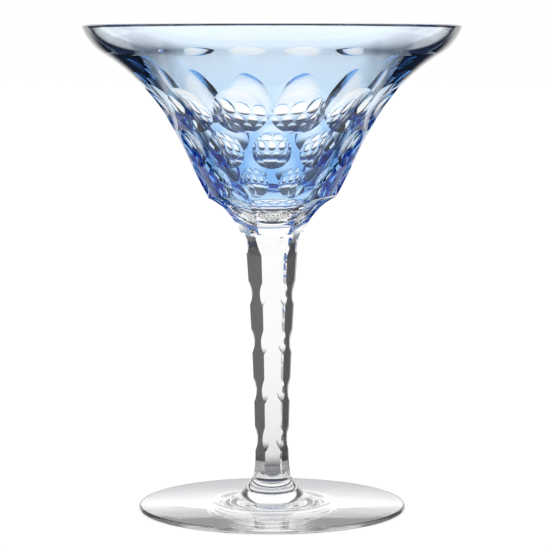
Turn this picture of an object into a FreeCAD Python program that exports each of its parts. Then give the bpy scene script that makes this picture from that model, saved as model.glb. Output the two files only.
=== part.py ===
import FreeCAD, Part
import math
import os

import Sketcher

# Cased and cut crystal martini glass.
#
# A thick clear cone-shaped bowl carries a thin blue layer on its outside.  Three staggered rows of
# round lens cuts go through the blue into the clear glass, six flutes sweep the underside of the
# bowl down into a six-sided stem with notched edges, and a round flared foot carries the whole.
# Millimetres, +Z up.  The origin is at the middle of the foot, on the table.

os.makedirs("parts", exist_ok=True)
doc = FreeCAD.newDocument("martini_glass")

# --------------------------------------------------------------------------- driving dimensions
DIMS = [
    # outside of the blown blank, top to bottom: lip arc, flare arc, straight cone
    ("lip_radial", 66.786), ("lip_height", 171.4), ("lip_slope", 20.19),
    ("lip_curve", 19.71),
    ("mid_radial", 58.663), ("mid_height", 161.445), ("mid_slope", 58.24),
    ("flare_curve", 65.4),
    ("cone_radial", 34.617), ("cone_height", 135.138), ("cone_slope", 26.62),
    ("cone_foot_radial", 21.017), ("cone_foot_height", 108.0),
    ("casing_wall", 0.7),
    ("rim_top", 172.0), ("rim_radial", 65.5), ("rim_outer_round", 1.6), ("rim_inner_round", 1.25),
    # drinking side, top to bottom: points, and the curve from each to the next
    ("inner_a_radial", 64.624), ("inner_a_height", 171.3), ("inner_a_curve", 18.72),
    ("inner_b_radial", 58.688), ("inner_b_height", 164.518), ("inner_b_curve", 28.2),
    ("inner_c_radial", 56.141), ("inner_c_height", 162.938), ("inner_c_curve", 66.09),
    ("inner_d_radial", 48.456), ("inner_d_height", 157.996), ("inner_d_curve", 61.65),
    ("inner_e_radial", 38.459), ("inner_e_height", 148.648), ("inner_e_curve", 67.5),
    ("inner_f_radial", 32.012), ("inner_f_height", 139.731),
    ("inner_g_radial", 15.75), ("inner_g_height", 112.87), ("cavity_curve", 18.41),
    ("cavity_floor", 104.0),
    # joint between the bowl and the stem, and between the stem and the foot
    ("bowl_joint", 99.5), ("foot_joint", 11.5),
    # flutes and stem facets: distance from the axis to the flat, from the top down
    ("flute_top_flat", 27.307), ("flute_top_height", 113.0), ("flute_top_curve", 17.04),
    ("flute_mid_flat", 13.61), ("flute_mid_height", 106.08), ("flute_mid_curve", 30.13),
    ("stem_top_flat", 7.78), ("stem_top_height", 90.023), ("stem_curve", 1486.0),
    ("stem_low_flat", 5.164), ("stem_low_height", 20.0), ("stem_flare_curve", 46.0),
    ("stem_end_flat", 5.92), ("stem_end_height", 11.0),
    ("facet_turn", 36.0), ("notch_turn", 6.0), ("facet_count", 6),
    # stem blank before the facets are cut
    ("blank_radial", 10.6), ("blank_top_radial", 15.2), ("blank_step", 88.0),
    # lens cuts: deepest point, tilt down the wall, the two curves down the wall from that point,
    # the curve across the wall, and how far the cutter reaches up and down
    ("cut_count", 12),
    ("upper_radial", 36.592), ("upper_height", 142.621), ("upper_tilt", 34.868),
    ("upper_top_curve", 26.369), ("upper_low_curve", 11.407), ("upper_crown", 42.8),
    ("upper_top_reach", 14.159), ("upper_low_reach", 9.932), ("upper_turn", 13.5),
    ("middle_radial", 29.542), ("middle_height", 129.182), ("middle_tilt", 26.635),
    ("middle_top_curve", 19.978), ("middle_low_curve", 10.949), ("middle_crown", 18.6),
    ("middle_top_reach", 11.043), ("middle_low_reach", 8.722), ("middle_turn", 0.0),
    ("lower_radial", 24.312), ("lower_height", 117.939), ("lower_tilt", 26.736),
    ("lower_top_curve", 15.988), ("lower_low_curve", 9.858), ("lower_crown", 12.5),
    ("lower_top_reach", 9.357), ("lower_low_reach", 7.824), ("lower_turn", 16.2),
    # notches across the stem's six edges, top to bottom
    ("notch_wheel", 11.0), ("notch_crown", 40.0), ("notch_half", 4.0), ("notch_depth", 0.8),
    ("notch_a_height", 94.0), ("notch_a_edge", 9.57),
    ("notch_b_height", 76.7), ("notch_b_edge", 8.11),
    ("notch_c_height", 59.6), ("notch_c_edge", 7.2),
    ("notch_d_height", 42.1), ("notch_d_edge", 6.5),
    ("notch_e_height", 24.7), ("notch_e_edge", 6.05),
    # foot
    ("collar_radial", 6.95), ("collar_curve", 15.1),
    ("collar_mid_radial", 13.6), ("collar_mid_height", 3.95), ("collar_low_curve", 19.3),
    ("plate_radial", 21.8), ("plate_height", 2.75),
    ("edge_top_radial", 46.95), ("edge_top_height", 1.75), ("edge_curve", 0.9),
    ("edge_low_radial", 46.85), ("stand_radial", 44.5),
    ("kick_radial", 20.0), ("kick_low", 0.7), ("kick_height", 0.9),
]

sheet = doc.addObject("Spreadsheet::Sheet", "Dims")
D = {}
for row, (alias, value) in enumerate(DIMS, start=1):
    sheet.set("A%d" % row, alias.replace("_", " "))
    sheet.set("B%d" % row, str(value))
    sheet.setAlias("B%d" % row, alias)
    D[alias] = float(value)
doc.recompute()


def cosd(a):
    return math.cos(math.radians(a))


def sind(a):
    return math.sin(math.radians(a))


# A coordinate is a pair: the expression that drives it, and its number from the same cells.
def cell(name):
    return ("Dims." + name, D[name])


def inward(point, slope, wall):
    """The point on a wall's other side: wall thickness in from point, square to the wall."""
    (er, r), (ez, z) = point
    a, t = D[slope], D[wall]
    return (
        ("%s - Dims.%s * cos(Dims.%s * 1 deg)" % (er, wall, slope), r - t * cosd(a)),
        ("%s + Dims.%s * sin(Dims.%s * 1 deg)" % (ez, wall, slope), z + t * sind(a)),
    )


LIP = (cell("lip_radial"), cell("lip_height"))
MID = (cell("mid_radial"), cell("mid_height"))
CONE = (cell("cone_radial"), cell("cone_height"))
CONE_FOOT = (cell("cone_foot_radial"), cell("cone_foot_height"))
# the joint between the blue layer and the clear glass behind it
J_LIP = inward(LIP, "lip_slope", "casing_wall")
J_MID = inward(MID, "mid_slope", "casing_wall")
J_CONE = inward(CONE, "cone_slope", "casing_wall")
J_FOOT = inward(CONE_FOOT, "cone_slope", "casing_wall")
# the drinking side
INNER = {k: (cell("inner_%s_radial" % k), cell("inner_%s_height" % k)) for k in "abcdefg"}
RIM = (cell("rim_radial"), cell("rim_top"))


def origin_feature(body, role):
    for feature in body.Origin.OriginFeatures:
        if feature.Role == role:
            return feature
    raise RuntimeError("no origin feature " + role)


def attach(sketch, body, role, offset=None, expressions=()):
    sketch.AttachmentSupport = [(origin_feature(body, role), "")]
    sketch.MapMode = "FlatFace"
    if offset is not None:
        sketch.AttachmentOffset = offset
    for path, text in expressions:
        sketch.setExpression("AttachmentOffset." + path, text)


def arc_edge(p, q, radius, side):
    """A circular arc from p to q.  It bulges to the left of the way from p to q for side +1."""
    (px, py), (qx, qy) = p, q
    mx, my = (px + qx) / 2, (py + qy) / 2
    dx, dy = qx - px, qy - py
    chord = math.hypot(dx, dy)
    if radius <= chord / 2:
        raise RuntimeError("arc radius %.3f too small for chord %.3f" % (radius, chord))
    rise = math.sqrt(radius * radius - chord * chord / 4)
    # the middle of the circle lies on the other side of the chord from the bulge
    cx, cy = mx + side * dy / chord * rise, my - side * dx / chord * rise
    a, b = math.atan2(py - cy, px - cx), math.atan2(qy - cy, qx - cx)
    circle = Part.Circle(FreeCAD.Vector(cx, cy, 0), FreeCAD.Vector(0, 0, 1), radius)
    if side > 0:  # runs clockwise from p to q, so the stored arc runs from q to p
        return Part.ArcOfCircle(circle, b, a), True
    return Part.ArcOfCircle(circle, a, b), False


def outline(sketch, points, edges, prefix):
    """A closed outline.  points: ((expr, x), (expr, y)); edges: None for a line, or
    ((expr, radius), side) for an arc to the next point.  Every point and radius is bound."""
    xy = [(p[0][1], p[1][1]) for p in points]
    n = len(xy)
    ends = []
    for i in range(n):
        p, q = xy[i], xy[(i + 1) % n]
        if edges[i] is None:
            g = sketch.addGeometry(
                Part.LineSegment(FreeCAD.Vector(p[0], p[1], 0), FreeCAD.Vector(q[0], q[1], 0)), False)
            ends.append((g, 1, 2))
        else:
            (_, radius), side = edges[i]
            shape, swapped = arc_edge(p, q, radius, side)
            g = sketch.addGeometry(shape, False)
            ends.append((g, 2, 1) if swapped else (g, 1, 2))
    for i in range(n):
        g, _, e = ends[i]
        g2, s2, _ = ends[(i + 1) % n]
        sketch.addConstraint(Sketcher.Constraint("Coincident", g, e, g2, s2))
    for i, ((ex, x), (ey, y)) in enumerate(points):
        g, s, _ = ends[i]
        for kind, expr, value, axis in (("DistanceX", ex, x, -2), ("DistanceY", ey, y, -1)):
            if expr is None:  # the point lies on that axis
                sketch.addConstraint(Sketcher.Constraint("PointOnObject", g, s, axis))
                continue
            c = sketch.addConstraint(Sketcher.Constraint(kind, -1, 1, g, s, value))
            label = "%s_%s%d" % (prefix, "x" if kind == "DistanceX" else "y", i)
            sketch.renameConstraint(c, label)
            sketch.setExpression("Constraints." + label, expr)
    for i in range(n):
        if edges[i] is None:
            continue
        (expr, radius), _ = edges[i]
        c = sketch.addConstraint(Sketcher.Constraint("Radius", ends[i][0], radius))
        label = "%s_r%d" % (prefix, i)
        sketch.renameConstraint(c, label)
        sketch.setExpression("Constraints." + label, expr)


AXIS = (None, 0.0)  # a coordinate that lies on an axis of the sketch


def new_body(label):
    body = doc.addObject("PartDesign::Body", label)
    body.Label = label
    return body


def revolve(body, name, points, edges):
    sketch = body.newObject("Sketcher::SketchObject", name + "_outline")
    attach(sketch, body, "XZ_Plane")
    outline(sketch, points, edges, "p")
    doc.recompute()
    feature = body.newObject("PartDesign::Revolution", name)
    feature.Profile = sketch
    feature.ReferenceAxis = (sketch, ["V_Axis"])
    feature.Angle = 360.0
    doc.recompute()
    body.Tip = feature
    return feature


def polar(body, feature, name, count_cell):
    pattern = body.newObject("PartDesign::PolarPattern", name)
    pattern.Originals = [feature]
    pattern.Axis = (origin_feature(body, "Z_Axis"), [""])
    pattern.Angle = 360.0
    pattern.setExpression("Occurrences", "Dims." + count_cell)
    body.Tip = pattern
    doc.recompute()
    return pattern


def cut_wheel(body, name, centre_r, centre_z, turn, wheel, crown, half, count):
    """A groove left by a crowned stone wheel whose axle runs level and square to the radius,
    repeated round the axis.  centre_r and centre_z: (expression, number) of the axle."""
    sketch = body.newObject("Sketcher::SketchObject", name + "_wheel")
    a = D[turn]
    offset = FreeCAD.Placement(
        FreeCAD.Vector(centre_r[1] * cosd(a), centre_r[1] * sind(a), centre_z[1]),
        FreeCAD.Rotation(FreeCAD.Vector(0, 0, 1), a))
    attach(sketch, body, "XY_Plane", offset, [
        ("Base.x", "(%s) * cos(Dims.%s * 1 deg)" % (centre_r[0], turn)),
        ("Base.y", "(%s) * sin(Dims.%s * 1 deg)" % (centre_r[0], turn)),
        ("Base.z", centre_z[0]),
    ])
    w, c, h = D[wheel], D[crown], D[half]
    shoulder = w - c + math.sqrt(c * c - h * h)
    ex = "Dims.%s - Dims.%s + sqrt(Dims.%s * Dims.%s - Dims.%s * Dims.%s)" % (
        wheel, crown, crown, crown, half, half)
    ends = []
    y0, y1 = -h, h
    V = FreeCAD.Vector
    g0 = sketch.addGeometry(Part.LineSegment(V(0, y1, 0), V(0, y0, 0)), False)
    g1 = sketch.addGeometry(Part.LineSegment(V(0, y0, 0), V(shoulder, y0, 0)), False)
    circle = Part.Circle(V(w - c, 0, 0), V(0, 0, 1), c)
    b = math.asin(h / c)
    g2 = sketch.addGeometry(Part.ArcOfCircle(circle, -b, b), False)
    g3 = sketch.addGeometry(Part.LineSegment(V(shoulder, y1, 0), V(0, y1, 0)), False)
    for p in ((g0, 2, g1, 1), (g1, 2, g2, 1), (g2, 2, g3, 1), (g3, 2, g0, 1)):
        sketch.addConstraint(Sketcher.Constraint("Coincident", *p))
    sketch.addConstraint(Sketcher.Constraint("PointOnObject", g0, 1, -2))
    sketch.addConstraint(Sketcher.Constraint("PointOnObject", g0, 2, -2))
    sketch.addConstraint(Sketcher.Constraint("Horizontal", g1))
    sketch.addConstraint(Sketcher.Constraint("Horizontal", g3))
    sketch.addConstraint(Sketcher.Constraint("Symmetric", g2, 1, g2, 2, -1))
    for label, con, expr in (
        ("half", Sketcher.Constraint("DistanceY", -1, 1, g0, 1, h), "Dims." + half),
        ("shoulder", Sketcher.Constraint("DistanceX", -1, 1, g1, 2, shoulder), ex),
        ("crown", Sketcher.Constraint("Radius", g2, c), "Dims." + crown),
    ):
        i = sketch.addConstraint(con)
        sketch.renameConstraint(i, label)
        sketch.setExpression("Constraints." + label, expr)
    doc.recompute()
    groove = body.newObject("PartDesign::Groove", name)
    groove.Profile = sketch
    groove.ReferenceAxis = (sketch, ["V_Axis"])
    groove.Angle = 360.0
    body.Tip = groove
    doc.recompute()
    return polar(body, groove, name + "_round", count)


def lens_row(body, row):
    """One row of round lens cuts.  Down the wall a cut follows two curves that meet at its deepest
    point; across the wall it is round about an axle that lies along the wall, outside the bowl."""
    c = {k: "Dims.%s_%s" % (row, k) for k in ("radial", "height", "tilt", "top_curve", "low_curve",
                                              "crown", "top_reach", "low_reach")}
    v = {k: D["%s_%s" % (row, k)] for k in c}
    sin_e, cos_e = "sin(%s * 1 deg)" % c["tilt"], "cos(%s * 1 deg)" % c["tilt"]
    sin_v, cos_v = sind(v["tilt"]), cosd(v["tilt"])

    def place(out, along):
        """A point out from the cut's deepest point, square to the wall, and along the wall."""
        return (("%s + (%s) * %s + (%s) * %s" % (c["radial"], out[0], cos_e, along[0], sin_e),
                 v["radial"] + out[1] * cos_v + along[1] * sin_v),
                ("%s - (%s) * %s + (%s) * %s" % (c["height"], out[0], sin_e, along[0], cos_e),
                 v["height"] - out[1] * sin_v + along[1] * cos_v))

    def rise(curve, reach):
        return ("%s - sqrt(%s * %s - %s * %s)" % (c[curve], c[curve], c[curve], c[reach], c[reach]),
                v[curve] - math.sqrt(v[curve] ** 2 - v[reach] ** 2))

    crown = (c["crown"], v["crown"])
    up = (c["top_reach"], v["top_reach"])
    down = ("-" + c["low_reach"], -v["low_reach"])
    points = [place(crown, up), place(rise("top_curve", "top_reach"), up), place(("0", 0.0), ("0", 0.0)),
              place(rise("low_curve", "low_reach"), down), place(crown, down)]
    name = row + "_lens_cut"
    turn = row + "_turn"
    sketch = body.newObject("Sketcher::SketchObject", name + "_section")
    attach(sketch, body, "XZ_Plane",
           FreeCAD.Placement(FreeCAD.Vector(0, 0, 0),
                             FreeCAD.Rotation(FreeCAD.Vector(0, 1, 0), D[turn])),
           [("Rotation.Angle", "Dims.%s * 1 deg" % turn)])
    outline(sketch, points,
            [None, ((c["top_curve"], v["top_curve"]), -1), ((c["low_curve"], v["low_curve"]), -1),
             None, None], "c")
    doc.recompute()
    groove = body.newObject("PartDesign::Groove", name)
    groove.Profile = sketch
    groove.ReferenceAxis = (sketch, ["Edge5"])
    groove.Angle = 360.0
    body.Tip = groove
    doc.recompute()
    return polar(body, groove, name + "_round", "cut_count")


def facets(body, name, on_stem):
    """Six flats round the axis: the flutes under the bowl, running on down the stem."""
    sketch = body.newObject("Sketcher::SketchObject", name + "_section")
    attach(sketch, body, "XZ_Plane",
           FreeCAD.Placement(FreeCAD.Vector(0, 0, 0),
                             FreeCAD.Rotation(FreeCAD.Vector(0, 1, 0), D["facet_turn"])),
           [("Rotation.Angle", "Dims.facet_turn * 1 deg")])
    chain = [
        (cell("flute_top_flat"), cell("flute_top_height")),
        (cell("flute_mid_flat"), cell("flute_mid_height")),
        (cell("stem_top_flat"), cell("stem_top_height")),
        (cell("stem_low_flat"), cell("stem_low_height")),
        (cell("stem_end_flat"), cell("stem_end_height")),
    ]
    curves = [(cell("flute_top_curve"), -1), (cell("flute_mid_curve"), -1),
              (cell("stem_curve"), -1), (cell("stem_flare_curve"), -1)]
    if not on_stem:  # under the bowl only the flutes themselves are needed
        chain, curves = chain[:3], curves[:2]
    far = ("Dims.flute_top_flat + 14", D["flute_top_flat"] + 14)
    points = chain + [(far, chain[-1][1]), (far, chain[0][1])]
    edges = curves + [None, None, None]
    outline(sketch, points, edges, "f")
    doc.recompute()
    pocket = body.newObject("PartDesign::Pocket", name)
    pocket.Profile = sketch
    pocket.Length = 90.0
    if hasattr(pocket, "SideType"):
        pocket.SideType = "Symmetric"
    else:
        pocket.Midplane = True
    body.Tip = pocket
    doc.recompute()
    return polar(body, pocket, name + "_round", "facet_count")


volumes = {}


def note(body, stage):
    volumes.setdefault(body.Label, []).append((stage, round(body.Shape.Volume, 1)))


def offset_curve(name, sign):
    return ("Dims.%s %s Dims.casing_wall" % (name, "+" if sign > 0 else "-"),
            D[name] + sign * D["casing_wall"])


# --------------------------------------------------------------------------- blue casing
# Blown over the outside of the bowl, then cut through by the lens cuts and by the flutes.
casing = new_body("bowl_casing")
revolve(casing, "casing_shell",
        [LIP, MID, CONE, CONE_FOOT, J_FOOT, J_CONE, J_MID, J_LIP],
        [(cell("lip_curve"), 1), (cell("flare_curve"), -1), None, None,
         None, (offset_curve("flare_curve", 1), 1), (offset_curve("lip_curve", -1), -1), None])
note(casing, "shell")
for row in ("upper", "middle", "lower"):
    lens_row(casing, row)
    note(casing, row)
facets(casing, "casing_flutes", False)
note(casing, "flutes")

# --------------------------------------------------------------------------- clear lining
# Its outside is the inside of the casing, carried on down to the joint with the stem.
lining = new_body("bowl_lining")
drop = ("Dims.cone_height + Dims.casing_wall * sin(Dims.cone_slope * 1 deg) - Dims.bowl_joint",
        J_CONE[1][1] - D["bowl_joint"])
J_END = (("%s - (%s) * tan(Dims.cone_slope * 1 deg)" % (J_CONE[0][0], drop[0]),
          J_CONE[0][1] - drop[1] * math.tan(math.radians(D["cone_slope"]))),
         cell("bowl_joint"))
revolve(lining, "lining_wall",
        [J_LIP, J_MID, J_CONE, J_END, (AXIS, cell("bowl_joint")), (AXIS, cell("cavity_floor"))]
        + [INNER[k] for k in "gfedcba"] + [RIM],
        [(offset_curve("lip_curve", -1), 1), (offset_curve("flare_curve", 1), -1), None, None,
         None, (cell("cavity_curve"), -1), None, (cell("inner_e_curve"), 1),
         (cell("inner_d_curve"), 1), (cell("inner_c_curve"), 1), (cell("inner_b_curve"), -1),
         (cell("inner_a_curve"), -1), (cell("rim_inner_round"), 1),
         (cell("rim_outer_round"), 1)])
note(lining, "wall")
for row in ("upper", "middle", "lower"):
    lens_row(lining, row)
    note(lining, row)
facets(lining, "lining_flutes", False)
note(lining, "flutes")

# --------------------------------------------------------------------------- stem
# A tapering blank, cut flat on six sides and then notched five times across each edge.
stem = new_body("stem")
revolve(stem, "stem_blank",
        [(AXIS, cell("foot_joint")), (cell("blank_radial"), cell("foot_joint")),
         (cell("blank_radial"), cell("blank_step")),
         (cell("blank_top_radial"), cell("bowl_joint")), (AXIS, cell("bowl_joint"))],
        [None, None, None, None, None])
note(stem, "blank")
facets(stem, "stem_facets", True)
note(stem, "facets")
for mark in "abcde":
    edge, height = "notch_%s_edge" % mark, "notch_%s_height" % mark
    axle = ("Dims.%s + Dims.notch_wheel - Dims.notch_depth" % edge,
            D[edge] + D["notch_wheel"] - D["notch_depth"])
    cut_wheel(stem, "notch_" + mark, axle, cell(height), "notch_turn", "notch_wheel",
              "notch_crown", "notch_half", "facet_count")
    note(stem, "notch_" + mark)

# --------------------------------------------------------------------------- foot
# A flared collar, a plate that thins towards its rounded edge, and a shallow kick underneath, so
# that the glass stands on a narrow flat ring.
foot = new_body("foot")
revolve(foot, "foot_plate",
        [(AXIS, cell("foot_joint")), (cell("collar_radial"), cell("foot_joint")),
         (cell("collar_mid_radial"), cell("collar_mid_height")),
         (cell("plate_radial"), cell("plate_height")),
         (cell("edge_top_radial"), cell("edge_top_height")),
         (cell("edge_low_radial"), AXIS), (cell("stand_radial"), AXIS),
         (cell("kick_radial"), cell("kick_low")), (AXIS, cell("kick_height"))],
        [None, (cell("collar_curve"), -1), (cell("collar_low_curve"), -1), None,
         (cell("edge_curve"), 1), None, None, None, None])
note(foot, "plate")

# --------------------------------------------------------------------------- checks and export
doc.recompute()
bad = [o.Name for o in doc.Objects if "Invalid" in o.State or "Error" in o.State]
if bad:
    raise RuntimeError("failed objects: " + ", ".join(bad))
for body, stages in volumes.items():
    print(body, stages)
for body in (casing, lining, stem, foot):
    shape = body.Shape
    if shape.isNull() or not shape.isValid() or len(shape.Solids) != 1:
        raise RuntimeError("%s: null, invalid or not one solid (%d)" % (
            body.Label, len(shape.Solids)))
    box = shape.BoundBox
    print("%-12s volume %.1f mm3, box X %.2f..%.2f Y %.2f..%.2f Z %.2f..%.2f, %d faces" % (
        body.Label, shape.Volume, box.XMin, box.XMax, box.YMin, box.YMax, box.ZMin, box.ZMax,
        len(shape.Faces)))
    shape.exportStep("parts/%s.step" % body.Label)
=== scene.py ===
import math

import bpy
import numpy as np
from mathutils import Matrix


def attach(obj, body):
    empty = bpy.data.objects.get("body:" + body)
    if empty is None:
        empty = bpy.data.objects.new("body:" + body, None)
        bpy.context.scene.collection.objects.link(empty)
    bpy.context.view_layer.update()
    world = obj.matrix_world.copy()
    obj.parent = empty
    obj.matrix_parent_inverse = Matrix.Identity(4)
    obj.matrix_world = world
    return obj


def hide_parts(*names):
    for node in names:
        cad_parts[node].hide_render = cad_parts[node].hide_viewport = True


# Cased and cut crystal martini glass.  All lengths below are millimetres, and become metres when
# a mesh is made.  Four pieces stand for the four CAD nodes:
#   clear_bowl   the whole refracting body of the bowl, with its cuts, flutes, rim and cavity
#   blue_casing  the thin layer of blue glass just under the bowl's skin, cut through by the cuts
#   cut_stem     the six-sided stem with its notched edges
#   round_foot   the collar and the plate of the foot

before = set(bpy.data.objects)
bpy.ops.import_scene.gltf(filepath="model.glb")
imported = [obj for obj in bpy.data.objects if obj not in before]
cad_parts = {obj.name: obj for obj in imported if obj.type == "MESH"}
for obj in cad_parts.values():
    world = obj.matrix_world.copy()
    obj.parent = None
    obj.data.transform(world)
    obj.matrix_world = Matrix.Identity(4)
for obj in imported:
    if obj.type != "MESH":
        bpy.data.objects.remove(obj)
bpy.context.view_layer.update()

MM = 0.001
SEGMENTS = 300  # round the axis; the stem's edges at 6 + 60 k degrees fall on these steps
GAP = 0.01  # half of the gap between two pieces that are one glass at a joint
SKIN = 0.02  # depth of the blue layer's outside under the bowl's skin

# ------------------------------------------------------------------ shape, as in the CAD source
LIP, MID, CONE = (66.786, 171.4), (58.663, 161.445), (34.617, 135.138)
LIP_SLOPE, MID_SLOPE, CONE_SLOPE = 20.19, 58.24, 26.62
LIP_CURVE, FLARE_CURVE = 19.71, 65.4
# thickness of the blue glass by height: it thins towards the rim and gathers at the base
BLUE_WALL = [(108.0, 2.0), (123.0, 2.0), (131.0, 1.4), (139.0, 0.85), (150.0, 0.58), (155.0, 0.46),
             (160.0, 0.34), (165.0, 0.24), (171.4, 0.16)]
RIM = (65.5, 172.0)
RIM_OUTER, RIM_INNER = 1.6, 1.25
# drinking side, top to bottom: points, and the radius and side of the arc to the next point
INNER = [(64.624, 171.3), (58.688, 164.518), (56.141, 162.938), (48.456, 157.996),
         (38.459, 148.648), (32.012, 139.731), (15.75, 112.87), (0.0, 104.0)]
INNER_CURVES = [(18.72, -1), (28.2, -1), (66.09, 1), (61.65, 1), (67.5, 1), None, (18.41, -1)]
BOWL_JOINT, FOOT_JOINT = 99.5, 11.5
CASING_FOOT = 108.0

FLATS = [(27.307, 113.0), (13.61, 106.08), (7.78, 90.023), (5.164, 20.0), (5.92, 11.0)]
FLAT_CURVES = [17.04, 30.13, 1486.0, 46.0]
FACET_TURN, EDGE_TURN = 36.0, 6.0

# Each lens cut runs down the wall from a top point to a low point, on two arcs that meet at its
# deepest point; it leaves the chord at these angles, and is round crosswise with this radius.
# top point, low point, top angle, low angle, cross radius, half width, turn
LENS_ROWS = [
    ((45.39, 150.58), (34.59, 135.08), 26.0, 40.0, 42.8, 13.0, 13.5),
    ((35.0, 135.89), (28.47, 122.87), 25.0, 34.0, 18.6, 9.4, 0.0),
    ((28.69, 123.3), (23.3, 112.6), 25.0, 32.0, 12.5, 7.4, 16.2),
]
LENS_COUNT = 12
NOTCHES = [(94.0, 9.57), (76.7, 8.11), (59.6, 7.2), (42.1, 6.5), (24.7, 6.05)]
NOTCH_WHEEL, NOTCH_CROWN, NOTCH_HALF, NOTCH_DEPTH = 11.0, 40.0, 4.0, 0.8

COLLAR, COLLAR_MID, PLATE = (6.95, FOOT_JOINT), (13.6, 3.95), (21.8, 2.75)
COLLAR_CURVE, COLLAR_LOW_CURVE = 15.1, 19.3
EDGE_TOP, EDGE_LOW, EDGE_CURVE = (46.95, 1.75), (46.85, 0.0), 0.9
STAND, KICK = (44.5, 0.0), (20.0, 0.7)
KICK_HEIGHT = 0.9


def cosd(a):
    return math.cos(math.radians(a))


def sind(a):
    return math.sin(math.radians(a))


# ------------------------------------------------------------------ lines and arcs in a plane
# A run goes from p to q with the air on its left and the glass on its right.
def line(p, q):
    return {"p": np.array(p, float), "q": np.array(q, float), "r": None}


def arc(p, q, radius, side):
    """side +1 bulges to the left of the way from p to q, -1 to the right."""
    p, q = np.array(p, float), np.array(q, float)
    d = q - p
    chord = float(np.hypot(*d))
    rise = math.sqrt(radius * radius - chord * chord / 4)
    c = (p + q) / 2 + side * rise / chord * np.array([d[1], -d[0]])
    a = math.atan2(p[1] - c[1], p[0] - c[0])
    b = math.atan2(q[1] - c[1], q[0] - c[0])
    sweep = (b - a + math.pi) % (2 * math.pi) - math.pi
    return {"p": p, "q": q, "r": radius, "side": side, "c": c, "a": a, "sweep": sweep}


def sample(run, steps):
    t = np.linspace(0, 1, steps + 1)[:, None]
    if run["r"] is None:
        return run["p"] * (1 - t) + run["q"] * t
    ang = run["a"] + t[:, 0] * run["sweep"]
    return run["c"] + run["r"] * np.stack([np.cos(ang), np.sin(ang)], 1)


def measure(run, x):
    """Distance of the points x from the run, and the run's normal towards the air there."""
    if run["r"] is None:
        d = run["q"] - run["p"]
        length2 = float(d @ d)
        t = np.clip((x - run["p"]) @ d / length2, 0, 1)[:, None]
        n = np.array([-d[1], d[0]]) / math.sqrt(length2)
        return np.hypot(*(x - run["p"] - t * d).T), np.broadcast_to(n, x.shape)
    y = x - run["c"]
    ang = np.arctan2(y[:, 1], y[:, 0])
    half = run["sweep"] / 2
    off = (ang - run["a"] - half + np.pi) % (2 * np.pi) - np.pi
    near = run["a"] + half + np.clip(off, -abs(half), abs(half))
    foot = run["c"] + run["r"] * np.stack([np.cos(near), np.sin(near)], 1)
    length = np.maximum(np.hypot(*y.T), 1e-9)[:, None]
    return np.hypot(*(x - foot).T), run["side"] * y / length


def inward(point, slope, wall):
    return (point[0] - wall * cosd(slope), point[1] + wall * sind(slope))


# ------------------------------------------------------------------ surfaces in space
# Each gives distance and outward normal at many points.
def turned_surface(run):
    def f(p):
        r = np.maximum(np.hypot(p[:, 0], p[:, 1]), 1e-9)
        d, n = measure(run, np.stack([r, p[:, 2]], 1))
        return d, np.stack([n[:, 0] * p[:, 0] / r, n[:, 0] * p[:, 1] / r, n[:, 1]], 1)

    return f


def flat_surface(run, azimuth):
    """A run of the flats' outline, drawn out level, facing azimuth."""
    cx, cy = cosd(azimuth), sind(azimuth)

    def f(p):
        x = p[:, 0] * cx + p[:, 1] * cy
        d, n = measure(run, np.stack([x, p[:, 2]], 1))
        return d, np.stack([n[:, 0] * cx, n[:, 0] * cy, n[:, 1]], 1)

    return f


def wheel_surface(axle_r, axle_z, azimuth, wheel, crown):
    cx, cy = cosd(azimuth), sind(azimuth)

    def f(p):
        x = p[:, 0] * cx + p[:, 1] * cy - axle_r
        v = np.clip(-p[:, 0] * cy + p[:, 1] * cx, -0.95 * crown, 0.95 * crown)
        z = p[:, 2] - axle_z
        rho = np.maximum(np.hypot(x, z), 1e-9)
        root = np.sqrt(crown * crown - v * v)
        gx, gz, gv = x / rho, z / rho, v / root
        size = np.sqrt(1 + gv * gv)
        n = -np.stack([gx * cx - gv * cy, gx * cy + gv * cx, gz], 1) / size[:, None]
        return np.abs(rho - (wheel - crown + root)) / size, n

    return f


def lens_frame(row):
    """The two arcs of a lens cut down the wall, and the line that its cross section turns about."""
    top, low, top_angle, low_angle, cross, half, azimuth = row
    top, low = np.array(top), np.array(low)
    length = float(np.hypot(*(top - low)))
    up = (top - low) / length
    out = np.array([up[1], -up[0]])
    a, b = 1 - cosd(top_angle), 1 - cosd(low_angle)
    low_curve = length / (sind(low_angle) + b / a * sind(top_angle))
    top_curve = low_curve * b / a
    deepest = top - up * top_curve * sind(top_angle) - out * low_curve * b
    return {"axle": deepest + out * cross, "up": up, "out": out, "cross": cross, "half": half,
            "top": top_curve, "low": low_curve, "above": top_curve * sind(top_angle),
            "below": low_curve * sind(low_angle)}


def lens_rise(lens, v):
    """How far the cut rises from its deepest line at v along the wall, and its slope there."""
    radius = np.where(v > 0, lens["top"], lens["low"])
    v = np.clip(v, -0.9 * radius, 0.9 * radius)
    root = np.sqrt(radius * radius - v * v)
    return radius - root, v / root


def lens_surface(lens, azimuth):
    cx, cy = cosd(azimuth), sind(azimuth)
    up, out = lens["up"], lens["out"]

    def f(p):
        r = p[:, 0] * cx + p[:, 1] * cy - lens["axle"][0]
        y = -p[:, 0] * cy + p[:, 1] * cx
        z = p[:, 2] - lens["axle"][1]
        x = r * out[0] + z * out[1]
        v = r * up[0] + z * up[1]
        rho = np.maximum(np.hypot(x, y), 1e-9)
        rise, slope = lens_rise(lens, v)
        size = np.sqrt(1 + slope * slope)
        gr = x / rho * out[0] + slope * up[0]
        gz = x / rho * out[1] + slope * up[1]
        gy = y / rho
        n = -np.stack([gr * cx - gy * cy, gr * cy + gy * cx, gz], 1) / size[:, None]
        return np.abs(rho - (lens["cross"] - rise)) / size, n

    return f


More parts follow.
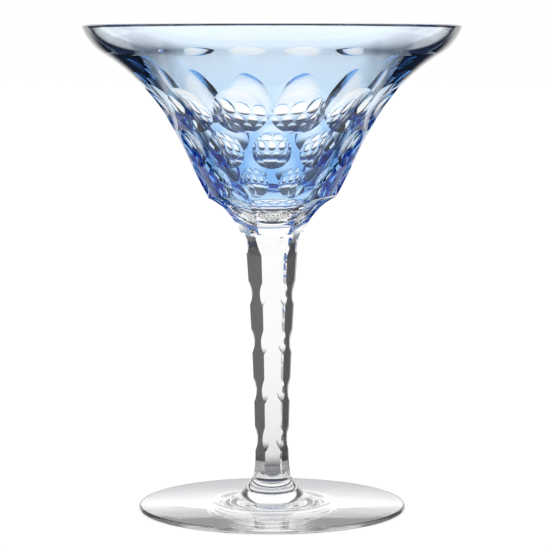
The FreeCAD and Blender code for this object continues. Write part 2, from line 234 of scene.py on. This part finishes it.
# ------------------------------------------------------------------ meshes
def new_object(name, verts, faces):
    mesh = bpy.data.meshes.new(name)
    mesh.from_pydata([tuple(v) for v in np.asarray(verts, float)], [], faces)
    mesh.validate()
    obj = bpy.data.objects.new(name, mesh)
    bpy.context.scene.collection.objects.link(obj)
    return obj


def turn(name, points, pole_start=False, pole_end=False, closed=False):
    """Turns an outline (n x 2) round the axis.  A pole closes an open end at the axis."""
    ang = 2 * np.pi * np.arange(SEGMENTS) / SEGMENTS
    ring = np.stack([np.cos(ang), np.sin(ang)], 1)
    points = np.asarray(points, float)
    verts = np.concatenate([
        np.concatenate([ring * r, np.full((SEGMENTS, 1), z)], 1) for r, z in points])
    verts = list(verts)
    n = len(points)
    faces = []
    for j in range(n if closed else n - 1):
        k = (j + 1) % n
        for i in range(SEGMENTS):
            i2 = (i + 1) % SEGMENTS
            faces.append((j * SEGMENTS + i, k * SEGMENTS + i, k * SEGMENTS + i2, j * SEGMENTS + i2))
    if pole_start is not False:
        verts.append((0, 0, pole_start))
        for i in range(SEGMENTS):
            faces.append((len(verts) - 1, i, (i + 1) % SEGMENTS))
    if pole_end is not False:
        verts.append((0, 0, pole_end))
        base = (n - 1) * SEGMENTS
        for i in range(SEGMENTS):
            faces.append((len(verts) - 1, base + (i + 1) % SEGMENTS, base + i))
    return new_object(name, verts, faces)


def chain(runs, steps):
    """One outline through several runs, without repeated points."""
    out = []
    for run, k in zip(runs, steps):
        s = sample(run, k)
        out.append(s if not out else s[1:])
    return np.concatenate(out)


def wheel_cutter(name, spots, tilt, wheel, crown, half, reach, extra=0.0, grid=(28, 28)):
    """Closed cutters in the shape of a crowned wheel's working patch, one for each spot
    (axle radius, axle height, azimuth).  Each comes to a point at the wheel's middle."""
    nu, nv = grid
    u = np.radians(np.linspace(-reach, reach, nu + 1))
    v = np.linspace(-half, half, nv + 1)
    uu, vv = np.meshgrid(u, v, indexing="ij")
    rho = wheel - crown + np.sqrt(crown * crown - vv * vv) + extra
    verts, faces = [], []
    for axle_r, axle_z, azimuth in spots:
        cx, cy = cosd(azimuth), sind(azimuth)
        facing = math.pi - math.radians(tilt)  # from the axle square to the wall
        x = axle_r + rho * np.cos(uu + facing)
        z = axle_z + rho * np.sin(uu + facing)
        px, py = x * cx - vv * cy, x * cy + vv * cx
        base = len(verts)
        verts.extend(np.stack([px.ravel(), py.ravel(), z.ravel()], 1))
        verts.append((axle_r * cx, axle_r * cy, axle_z))
        apex = len(verts) - 1

        def at(i, j):
            return base + i * (nv + 1) + j

        for i in range(nu):
            for j in range(nv):
                faces.append((at(i, j), at(i, j + 1), at(i + 1, j + 1), at(i + 1, j)))
        rim = [at(i, 0) for i in range(nu + 1)] + [at(nu, j) for j in range(1, nv + 1)]
        rim += [at(i, nv) for i in range(nu - 1, -1, -1)] + [at(0, j) for j in range(nv - 1, 0, -1)]
        for a, b in zip(rim, rim[1:] + rim[:1]):
            faces.append((a, b, apex))
    obj = new_object(name, verts, faces)
    return obj


def lens_cutter(name, lens, azimuths, extra=0.0, grid=(30, 28), over=2.6):
    """Closed cutters in the shape of a lens cut, one for each azimuth."""
    nu, nv = grid
    v = np.linspace(-lens["below"] - over, lens["above"] + over, nu + 1)
    reach = math.asin(lens["half"] / lens["cross"])
    w = np.linspace(-reach, reach, nv + 1)
    vv, ww = np.meshgrid(v, w, indexing="ij")
    rho = lens["cross"] - lens_rise(lens, vv)[0] + extra
    x = -rho * np.cos(ww)
    y = rho * np.sin(ww)
    r = lens["axle"][0] + x * lens["out"][0] + vv * lens["up"][0]
    z = lens["axle"][1] + x * lens["out"][1] + vv * lens["up"][1]
    # the cutter comes to a point well outside the glass
    tip = lens["axle"] - lens["out"] * (lens["cross"] - 12.0) if lens["cross"] > 12 else lens["axle"]
    verts, faces = [], []
    for azimuth in azimuths:
        cx, cy = cosd(azimuth), sind(azimuth)
        base = len(verts)
        verts.extend(np.stack([(r * cx - y * cy).ravel(), (r * cy + y * cx).ravel(), z.ravel()], 1))
        verts.append((tip[0] * cx, tip[0] * cy, tip[1]))
        apex = len(verts) - 1

        def at(i, j):
            return base + i * (nv + 1) + j

        for i in range(nu):
            for j in range(nv):
                faces.append((at(i, j), at(i, j + 1), at(i + 1, j + 1), at(i + 1, j)))
        rim = [at(i, 0) for i in range(nu + 1)] + [at(nu, j) for j in range(1, nv + 1)]
        rim += [at(i, nv) for i in range(nu - 1, -1, -1)] + [at(0, j) for j in range(nv - 1, 0, -1)]
        for a, b in zip(rim, rim[1:] + rim[:1]):
            faces.append((a, b, apex))
    return new_object(name, verts, faces)


def flat_cutter(name, runs, steps, azimuths, extra=0.0, top=None):
    """Closed cutters outside the flats' outline, one for each azimuth."""
    pts = chain(runs, steps)
    if extra:
        moved = np.zeros_like(pts)
        for i, p in enumerate(pts):
            best = min((measure(r, p[None, :]) for r in runs), key=lambda m: m[0][0])
            moved[i] = p - extra * best[1][0]
        pts = moved
    far = 46.0
    width = 46.0
    outline = np.concatenate([pts, [[far, pts[-1][1]], [far, pts[0][1]]]])
    n = len(outline)
    verts, faces = [], []
    for azimuth in azimuths:
        cx, cy = cosd(azimuth), sind(azimuth)
        base = len(verts)
        for y in (-width, width):
            for x, z in outline:
                verts.append((x * cx - y * cy, x * cy + y * cx, z))
        for i in range(n):
            k = (i + 1) % n
            faces.append((base + i, base + n + i, base + n + k, base + k))
        faces.append(tuple(base + i for i in range(n)))
        faces.append(tuple(base + n + i for i in range(n - 1, -1, -1)))
    return new_object(name, verts, faces)


def outward(obj):
    """Makes the faces of each closed cutter face out of it."""
    import bmesh

    bm = bmesh.new()
    bm.from_mesh(obj.data)
    bmesh.ops.recalc_face_normals(bm, faces=bm.faces)
    bm.to_mesh(obj.data)
    bm.free()


def cut(obj, cutters):
    for c in cutters:
        outward(c)
        m = obj.modifiers.new("cut", "BOOLEAN")
        m.operation = "DIFFERENCE"
        m.solver = "MANIFOLD"
        m.object = c
    graph = bpy.context.evaluated_depsgraph_get()
    mesh = bpy.data.meshes.new_from_object(obj.evaluated_get(graph))
    obj.modifiers.clear()
    obj.data = mesh
    for c in cutters:
        bpy.data.objects.remove(c)


def shade(obj, surfaces, joints=()):
    """Gives every face corner the true normal of the surface that the face lies on.  joints are
    heights of level end faces where the glass goes on in the next piece: they get slot 1."""
    mesh = obj.data
    n = len(mesh.polygons)
    centre = np.zeros(n * 3)
    normal = np.zeros(n * 3)
    mesh.polygons.foreach_get("center", centre)
    mesh.polygons.foreach_get("normal", normal)
    centre, normal = centre.reshape(-1, 3), normal.reshape(-1, 3)
    best = np.full(n, 1e9)
    owner = np.zeros(n, int)
    for i, f in enumerate(surfaces):
        d, m = f(centre)
        score = d + 1.0 * (1 - (m * normal).sum(1))
        better = score < best
        best[better] = score[better]
        owner[better] = i
    co = np.zeros(len(mesh.vertices) * 3)
    mesh.vertices.foreach_get("co", co)
    co = co.reshape(-1, 3)
    corner = np.zeros(len(mesh.loops), int)
    mesh.loops.foreach_get("vertex_index", corner)
    start = np.zeros(n, int)
    total = np.zeros(n, int)
    mesh.polygons.foreach_get("loop_start", start)
    mesh.polygons.foreach_get("loop_total", total)
    face_of = np.zeros(len(corner), int)
    for i in range(n):
        face_of[start[i]:start[i] + total[i]] = i
    place = co[corner]
    out = np.zeros_like(place)
    who = owner[face_of]
    for i, f in enumerate(surfaces):
        pick = who == i
        if pick.any():
            out[pick] = f(place[pick])[1]
    out /= np.maximum(np.linalg.norm(out, axis=1), 1e-9)[:, None]
    slot = np.zeros(n, int)
    for z in joints:
        slot[(np.abs(centre[:, 2] - z) < 1e-3) & (np.abs(normal[:, 2]) > 0.999)] = 1
    mesh.polygons.foreach_set("material_index", slot)
    mesh.polygons.foreach_set("use_smooth", np.ones(n, bool))
    mesh.normals_split_custom_set(out.tolist())
    return owner


def to_metres(obj):
    mesh = obj.data
    co = np.zeros(len(mesh.vertices) * 3)
    mesh.vertices.foreach_get("co", co)
    mesh.vertices.foreach_set("co", co * MM)
    mesh.update()


def report(obj):
    mesh = obj.data
    tris = sum(len(p.vertices) - 2 for p in mesh.polygons)
    print("piece", obj.name, len(mesh.vertices), "vertices", tris, "triangles")


# ------------------------------------------------------------------ the cuts
flat_runs = [arc(FLATS[i], FLATS[i + 1], FLAT_CURVES[i], -1) for i in range(4)]


def lens_turns(row):
    return [row[-1] + 30.0 * k for k in range(LENS_COUNT)]


def bowl_cutters(extra):
    """The lens cuts, every second one of a row in one go so that none overlap, and the flutes in
    opposite pairs."""
    out = []
    for i, row in enumerate(LENS_ROWS):
        for part in (0, 1):
            out.append(lens_cutter("lens_%d_%d" % (i, part), lens_frame(row),
                                   lens_turns(row)[part::2], extra))
    for k in range(3):
        out.append(flat_cutter("flute_%d" % k, flat_runs[:2], (44, 26),
                               (FACET_TURN + 60 * k, FACET_TURN + 60 * k + 180), extra))
    return out


# ------------------------------------------------------------------ clear bowl
cone_end = (CONE[0] - (CONE[1] - BOWL_JOINT - GAP) * math.tan(math.radians(CONE_SLOPE)),
            BOWL_JOINT + GAP)
outer_runs = [arc(LIP, MID, LIP_CURVE, 1), arc(MID, CONE, FLARE_CURVE, -1), line(CONE, cone_end)]
bottom_run = line(cone_end, (0, cone_end[1]))
inner_runs = []
for p, q, curve in zip(INNER[:0:-1], INNER[-2::-1], INNER_CURVES[::-1]):
    inner_runs.append(line(p, q) if curve is None else arc(p, q, *curve))
inner_runs += [arc(INNER[0], RIM, RIM_INNER, 1), arc(RIM, LIP, RIM_OUTER, 1)]

inner_points = chain(inner_runs, (24, 4, 8, 12, 8, 4, 20, 8, 8))[1:]
outer_points = chain(outer_runs, (24, 22, 10))
bowl = turn("clear_bowl", np.concatenate([inner_points, outer_points[1:]]),
            pole_start=INNER[-1][1], pole_end=cone_end[1])
cut(bowl, bowl_cutters(0.0))

bowl_surfaces = [turned_surface(r) for r in outer_runs + [bottom_run] + inner_runs]
for row in LENS_ROWS:
    for azimuth in lens_turns(row):
        bowl_surfaces.append(lens_surface(lens_frame(row), azimuth))
for k in range(6):
    for run in flat_runs[:2]:
        bowl_surfaces.append(flat_surface(run, FACET_TURN + 60 * k))
shade(bowl, bowl_surfaces, (cone_end[1],))
report(bowl)

# ------------------------------------------------------------------ blue casing
casing_end = (CONE[0] - (CONE[1] - CASING_FOOT) * math.tan(math.radians(CONE_SLOPE)), CASING_FOOT)
out_runs = [
    arc(inward(LIP, LIP_SLOPE, SKIN), inward(MID, MID_SLOPE, SKIN), LIP_CURVE - SKIN, 1),
    arc(inward(MID, MID_SLOPE, SKIN), inward(CONE, CONE_SLOPE, SKIN), FLARE_CURVE + SKIN, -1),
    line(inward(CONE, CONE_SLOPE, SKIN), inward(casing_end, CONE_SLOPE, SKIN))]
# the gather of blue glass is thicker towards the base of the bowl
skin_points = chain(out_runs, (24, 22, 8))
_, skin_air = measure(out_runs[0], skin_points)
for run in out_runs[1:]:
    near = measure(run, skin_points)[0] < measure(out_runs[0], skin_points)[0] + 1e-6
    skin_air = np.where(near[:, None], measure(run, skin_points)[1], skin_air)
blue_wall = np.interp(skin_points[:, 1], *zip(*BLUE_WALL))
casing = turn("blue_casing",
              np.concatenate([skin_points, (skin_points - skin_air * (blue_wall - SKIN)[:, None])[::-1]]),
              closed=True)
cut(casing, bowl_cutters(SKIN))
casing.data.polygons.foreach_set("use_smooth", np.ones(len(casing.data.polygons), bool))
casing.data.set_sharp_from_angle(angle=math.radians(25))
report(casing)

# ------------------------------------------------------------------ stem
stem_top, stem_low = BOWL_JOINT - GAP, FOOT_JOINT + GAP


def flat_at(z):
    """Distance of the flats from the axis at height z."""
    for run in flat_runs:
        lo, hi = sorted((run["p"][1], run["q"][1]))
        if lo - 1e-6 <= z <= hi + 1e-6:
            dz = z - run["c"][1]
            root = math.sqrt(run["r"] ** 2 - dz * dz)
            return run["c"][0] - root if run["c"][0] > run["p"][0] else run["c"][0] + root
    raise RuntimeError("no flat at %.3f" % z)


heights = np.unique(np.round(np.concatenate([
    np.linspace(stem_top, 90.023, 14), np.linspace(90.023, 20.0, 24),
    np.linspace(20.0, stem_low, 16)]), 6))[::-1]
ACROSS = 10
stem_verts, stem_faces = [], []
for z in heights:
    a = flat_at(float(z))
    for k in range(6):
        cx, cy = cosd(FACET_TURN + 60 * k), sind(FACET_TURN + 60 * k)
        for s in range(ACROSS):
            y = a * math.tan(math.radians(30)) * (2 * s / ACROSS - 1)
            stem_verts.append((a * cx - y * cy, a * cy + y * cx, z))
per = 6 * ACROSS
for j in range(len(heights) - 1):
    for i in range(per):
        i2 = (i + 1) % per
        stem_faces.append((j * per + i, (j + 1) * per + i, (j + 1) * per + i2, j * per + i2))
stem_faces.append(tuple(range(per)))
last = (len(heights) - 1) * per
stem_faces.append(tuple(last + i for i in range(per - 1, -1, -1)))
stem = new_object("cut_stem", stem_verts, stem_faces)
notch_cutters, stem_surfaces = [], []
for i, (height, edge) in enumerate(NOTCHES):
    axle = edge + NOTCH_WHEEL - NOTCH_DEPTH
    spots = [(axle, height, EDGE_TURN + 60 * k) for k in range(6)]
    notch_cutters.append(wheel_cutter("notch_%d" % i, spots, 0.0, NOTCH_WHEEL, NOTCH_CROWN,
                                      NOTCH_HALF, 28.0, grid=(30, 20)))
    for axle_r, axle_z, azimuth in spots:
        stem_surfaces.append(wheel_surface(axle_r, axle_z, azimuth, NOTCH_WHEEL, NOTCH_CROWN))
cut(stem, notch_cutters)
for k in range(6):
    for run in flat_runs[1:]:
        stem_surfaces.append(flat_surface(run, FACET_TURN + 60 * k))
stem_surfaces.append(turned_surface(line((0, stem_top), (12, stem_top))))
stem_surfaces.append(turned_surface(line((12, stem_low), (0, stem_low))))
shade(stem, stem_surfaces, (stem_top, stem_low))
report(stem)

# ------------------------------------------------------------------ foot
foot_top = FOOT_JOINT - GAP
collar = (COLLAR[0], foot_top)
foot_runs = [arc(collar, COLLAR_MID, COLLAR_CURVE, -1), arc(COLLAR_MID, PLATE, COLLAR_LOW_CURVE, -1),
             line(PLATE, EDGE_TOP), arc(EDGE_TOP, EDGE_LOW, EDGE_CURVE, 1),
             line(EDGE_LOW, STAND), arc(STAND, (0, KICK_HEIGHT), 1400.0, 1)]
foot_points = chain(foot_runs, (26, 16, 12, 14, 2, 24))[:-1]
foot = turn("round_foot", foot_points, pole_end=KICK_HEIGHT)
# the top: a ledge between the collar's circle and the stem's six-sided end
ang = np.degrees(2 * np.pi * np.arange(SEGMENTS) / SEGMENTS)
hexa = flat_at(FOOT_JOINT + GAP) / np.cos(np.radians((ang - FACET_TURN + 30) % 60 - 30))
verts = [tuple(v.co) for v in foot.data.vertices]
faces = [tuple(p.vertices) for p in foot.data.polygons]
base = len(verts)
for a, r in zip(ang, hexa):
    verts.append((r * cosd(a), r * sind(a), foot_top))
verts.append((0, 0, foot_top))
for i in range(SEGMENTS):
    i2 = (i + 1) % SEGMENTS
    faces.append((i, i2, base + i2, base + i))
    faces.append((base + i, base + i2, len(verts) - 1))
bpy.data.objects.remove(foot)
foot = new_object("round_foot", verts, faces)
foot_surfaces = [turned_surface(r) for r in foot_runs]
foot_surfaces.append(turned_surface(line((0, foot_top), collar)))
shade(foot, foot_surfaces)
inside = [p.index for p in foot.data.polygons
          if abs(p.center[2] - foot_top) < 1e-4 and len(p.vertices) == 3]
for i in inside:
    foot.data.polygons[i].material_index = 1
report(foot)


# ------------------------------------------------------------------ materials
def node(tree, kind, place, **inputs):
    n = tree.nodes.new(kind)
    n.location = place
    for key, value in inputs.items():
        n.inputs[key].default_value = value
    return n


def crystal(name, ior, wave=0.0, wave_scale=60.0, tint=(1.0, 1.0, 1.0), painted_shade_levels=None):
    """Clear glass with faint waves from hand polishing.  The last argument gives heights in metres
    and the levels of grey painted there, a painted shade that greys the glass towards its foot."""
    m = bpy.data.materials.new(name)
    m.use_nodes = True
    tree = m.node_tree
    p = tree.nodes["Principled BSDF"]
    p.inputs["Base Color"].default_value = (*tint, 1)
    p.inputs["Roughness"].default_value = 0.0
    p.inputs["IOR"].default_value = ior
    p.inputs["Transmission Weight"].default_value = 1.0
    if wave:
        where = node(tree, "ShaderNodeTexCoord", (-900, -200))
        noise = node(tree, "ShaderNodeTexNoise", (-700, -200))
        noise.inputs["Scale"].default_value = wave_scale
        noise.inputs["Detail"].default_value = 1.0
        bump = node(tree, "ShaderNodeBump", (-300, -200))
        bump.inputs["Strength"].default_value = 1.0
        bump.inputs["Distance"].default_value = wave
        tree.links.new(where.outputs["Object"], noise.inputs["Vector"])
        tree.links.new(noise.outputs["Fac"], bump.inputs["Height"])
        tree.links.new(bump.outputs["Normal"], p.inputs["Normal"])
    # painted shade: a grey base colour by height, darker lower down the glass
    if painted_shade_levels:
        split_z = node(tree, "ShaderNodeSeparateXYZ", (-700, 300))
        tree.links.new(where.outputs["Object"], split_z.inputs[0])
        ramp = node(tree, "ShaderNodeValToRGB", (-400, 300))
        low_z, high_z = painted_shade_levels[0][0], painted_shade_levels[-1][0]
        span = node(tree, "ShaderNodeMapRange", (-550, 300))
        span.inputs["From Min"].default_value = low_z
        span.inputs["From Max"].default_value = high_z
        tree.links.new(split_z.outputs[2], span.inputs["Value"])
        tree.links.new(span.outputs["Result"], ramp.inputs["Fac"])
        stops = ramp.color_ramp.elements
        while len(stops) < len(painted_shade_levels):
            stops.new(0.5)
        for stop, (z, level) in zip(stops, painted_shade_levels):
            stop.position = (z - low_z) / (high_z - low_z)
        for stop, (z, level) in zip(stops, painted_shade_levels):
            stop.color = (level, level, level, 1)
        tree.links.new(ramp.outputs["Color"], p.inputs["Base Color"])
    return m


def joint_material():
    m = bpy.data.materials.new("glass_goes_on")
    m.use_nodes = True
    p = m.node_tree.nodes["Principled BSDF"]
    p.inputs["Base Color"].default_value = (1, 1, 1, 1)
    p.inputs["Alpha"].default_value = 0.0
    return m


def blue_glass():
    m = bpy.data.materials.new("blue_casing_glass")
    m.use_nodes = True
    tree = m.node_tree
    p = tree.nodes["Principled BSDF"]
    p.inputs["Base Color"].default_value = (1, 1, 1, 1)
    p.inputs["Roughness"].default_value = 0.0
    p.inputs["IOR"].default_value = 1.0
    p.inputs["Transmission Weight"].default_value = 1.0
    v = node(tree, "ShaderNodeVolumeAbsorption", (0, -500))
    v.inputs["Color"].default_value = (0.0, 0.50, 0.905, 1)
    v.inputs["Density"].default_value = 385.0
    # faint cords of lighter and deeper colour, left from gathering the glass
    where = node(tree, "ShaderNodeTexCoord", (-900, 0))
    cords = node(tree, "ShaderNodeTexNoise", (-700, 0), Scale=45.0, Detail=2.0)
    tint = node(tree, "ShaderNodeMix", (-400, 0))
    tint.data_type = "RGBA"
    tint.inputs[6].default_value = (0.95, 0.975, 1.0, 1)
    tint.inputs[7].default_value = (1, 1, 1, 1)
    tree.links.new(where.outputs["Object"], cords.inputs["Vector"])
    tree.links.new(cords.outputs["Fac"], tint.inputs["Factor"])
    tree.links.new(tint.outputs[2], p.inputs["Base Color"])
    tree.links.new(v.outputs["Volume"], tree.nodes["Material Output"].inputs["Volume"])
    return m


joint_glass = joint_material()
bowl_glass = crystal("clear_crystal", 1.54, 0.000012, 90.0)
# the stem's grey levels by height are a painted shade that darkens it towards the foot
stem_glass = crystal("stem_crystal", 1.54, 0.00003, 110.0,
                     painted_shade_levels=((0.0115, 0.5), (0.02, 0.66), (0.029, 0.74), (0.047, 0.81),
                           (0.061, 0.84), (0.0995, 0.87)))
# the foot's grey base colour of 0.9 is a painted shade, darker than the clear bowl
foot_glass = crystal("foot_crystal", 1.54, 0.00004, 60.0, (0.9, 0.9, 0.9))
for obj, mat in ((bowl, bowl_glass), (stem, stem_glass), (foot, foot_glass)):
    slots = np.zeros(len(obj.data.polygons), int)
    obj.data.polygons.foreach_get("material_index", slots)
    obj.data.materials.clear()
    obj.data.materials.append(mat)
    obj.data.materials.append(joint_glass)
    obj.data.polygons.foreach_set("material_index", slots)
casing.data.materials.clear()
casing.data.materials.append(blue_glass())

for obj, cad_node, slot in (
    (bowl, "bowl_lining", "clear_crystal"), (casing, "bowl_casing", "blue_casing"),
    (stem, "stem", "stem_crystal"), (foot, "foot", "foot_crystal")):
    to_metres(obj)
    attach(obj, "root")
    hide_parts(cad_node)

# ------------------------------------------------------------------ studio
scene = bpy.context.scene
world = bpy.data.worlds.new("studio")
scene.world = world
world.use_nodes = True
wt = world.node_tree
wt.nodes.clear()


def wmath(op, a, b=None, c=None, clamp=False):
    n = wt.nodes.new("ShaderNodeMath")
    n.operation = op
    n.use_clamp = clamp
    for i, x in enumerate((a, b, c)):
        if x is None:
            continue
        if isinstance(x, (int, float)):
            n.inputs[i].default_value = x
        else:
            wt.links.new(x, n.inputs[i])
    return n.outputs[0]


def wstep(x, lo, hi, out_lo=0.0, out_hi=1.0):
    """Smooth change of out_lo to out_hi as x goes from lo to hi."""
    n = wt.nodes.new("ShaderNodeMapRange")
    n.interpolation_type = "SMOOTHSTEP"
    wt.links.new(x, n.inputs["Value"])
    n.inputs["From Min"].default_value = lo
    n.inputs["From Max"].default_value = hi
    n.inputs["To Min"].default_value = out_lo
    n.inputs["To Max"].default_value = out_hi
    return n.outputs["Result"]


coord = wt.nodes.new("ShaderNodeTexCoord")
split = wt.nodes.new("ShaderNodeSeparateXYZ")
wt.links.new(coord.outputs["Generated"], split.inputs[0])
dx, dy, dz = split.outputs
azimuth = wmath("DEGREES", wmath("ARCTAN2", dx, dy))  # from +Y, to the right positive
side = wmath("ABSOLUTE", azimuth)
height = wmath("DEGREES", wmath("ARCSINE", dz))


def sector(x, lo, hi, soft):
    return wmath("MULTIPLY", wstep(x, lo - soft, lo + soft), wstep(x, hi - soft, hi + soft, 1, 0))


# A bright screen stands behind the glass, with dark flags on both sides of it; the room beyond is
# dimmer, and little light comes up from below.
flags = wmath("MULTIPLY", sector(side, 31, 62, 2.0), wstep(height, 36, 46, 1, 0))
room = wmath("MULTIPLY", wstep(side, 58, 66), wstep(height, 40, 60, 1, 0))
shade_room = wmath("SUBTRACT", 1.0, wmath("MULTIPLY", room, 0.5))
overhead = wstep(height, 50, 70, 1.0, 0.75)
shade_flags = wmath("SUBTRACT", 1.0, wmath("MULTIPLY", flags, 0.93))
light = wmath("MULTIPLY", wmath("MULTIPLY", shade_flags, shade_room), overhead)
below = wstep(height, -19, -9, 1.0, 0.0)
# the sides and the back of the room are pale, and a soft panel lies low on each side of the screen
around = wmath("MULTIPLY", wstep(side, 74, 84), wstep(height, 12, 26, 1, 0))
low_panels = wmath("MULTIPLY", sector(side, 35, 57, 3.0), sector(height, -38, -16, 2.0))
panels = wmath("MAXIMUM", around, low_panels)
grey = wt.nodes.new("ShaderNodeCombineColor")
for i, level in enumerate((0.02, 0.035, 0.07)):
    fade = wmath("SUBTRACT", 1.0, wmath("MULTIPLY", below, 1.0 - level))
    wt.links.new(wmath("MAXIMUM", wmath("MULTIPLY", light, fade), wmath("MULTIPLY", panels, 0.92)),
                 grey.inputs[i])
path = wt.nodes.new("ShaderNodeLightPath")
plain = wt.nodes.new("ShaderNodeMix")
plain.data_type = "RGBA"
wt.links.new(path.outputs["Is Camera Ray"], plain.inputs["Factor"])
wt.links.new(grey.outputs[0], plain.inputs[6])
plain.inputs[7].default_value = (1, 1, 1, 1)
ground = wt.nodes.new("ShaderNodeBackground")
wt.links.new(plain.outputs[2], ground.inputs["Color"])
wt.links.new(wstep(path.outputs["Is Camera Ray"], 0.0, 1.0, 1.14, 1.0), ground.inputs["Strength"])
wout = wt.nodes.new("ShaderNodeOutputWorld")
wt.links.new(ground.outputs[0], wout.inputs["Surface"])

floor_mesh = bpy.data.meshes.new("floor")
R = 8.0
floor_mesh.from_pydata([(-R, -R, 0), (R, -R, 0), (R, R, 0), (-R, R, 0)], [], [(0, 1, 2, 3)])
floor = bpy.data.objects.new("floor", floor_mesh)
scene.collection.objects.link(floor)
fm = bpy.data.materials.new("pale_floor")
fm.use_nodes = True
fp = fm.node_tree.nodes["Principled BSDF"]
fp.inputs["Base Color"].default_value = (0.5, 0.5, 0.5, 1)
fp.inputs["Roughness"].default_value = 1.0
fp.inputs["Specular IOR Level"].default_value = 0.0
fp.inputs["Emission Color"].default_value = (1, 1, 1, 1)
fp.inputs["Emission Strength"].default_value = 0.65
floor_mesh.materials.append(fm)
floor.visible_transmission = False
floor.visible_glossy = False

# ------------------------------------------------------------------ camera
cam_data = bpy.data.cameras.new("camera")
cam_data.sensor_width = 36.0
cam_data.lens = 2320.0 / 550.0 * 36.0
cam_data.clip_start = 0.05
cam_data.clip_end = 50.0
cam = bpy.data.objects.new("camera", cam_data)
scene.collection.objects.link(cam)
cam.location = (0.00106, -0.820, 0.166)
cam.rotation_euler = (math.radians(90 - 5.735), 0, 0)
scene.camera = cam

scene.view_settings.view_transform = "Standard"
scene.view_settings.look = "None"
scene.cycles.max_bounces = 32
scene.cycles.transmission_bounces = 32
scene.cycles.glossy_bounces = 16
scene.cycles.transparent_max_bounces = 64
scene.cycles.blur_glossy = 0.0
scene.cycles.sample_clamp_indirect = 0.0
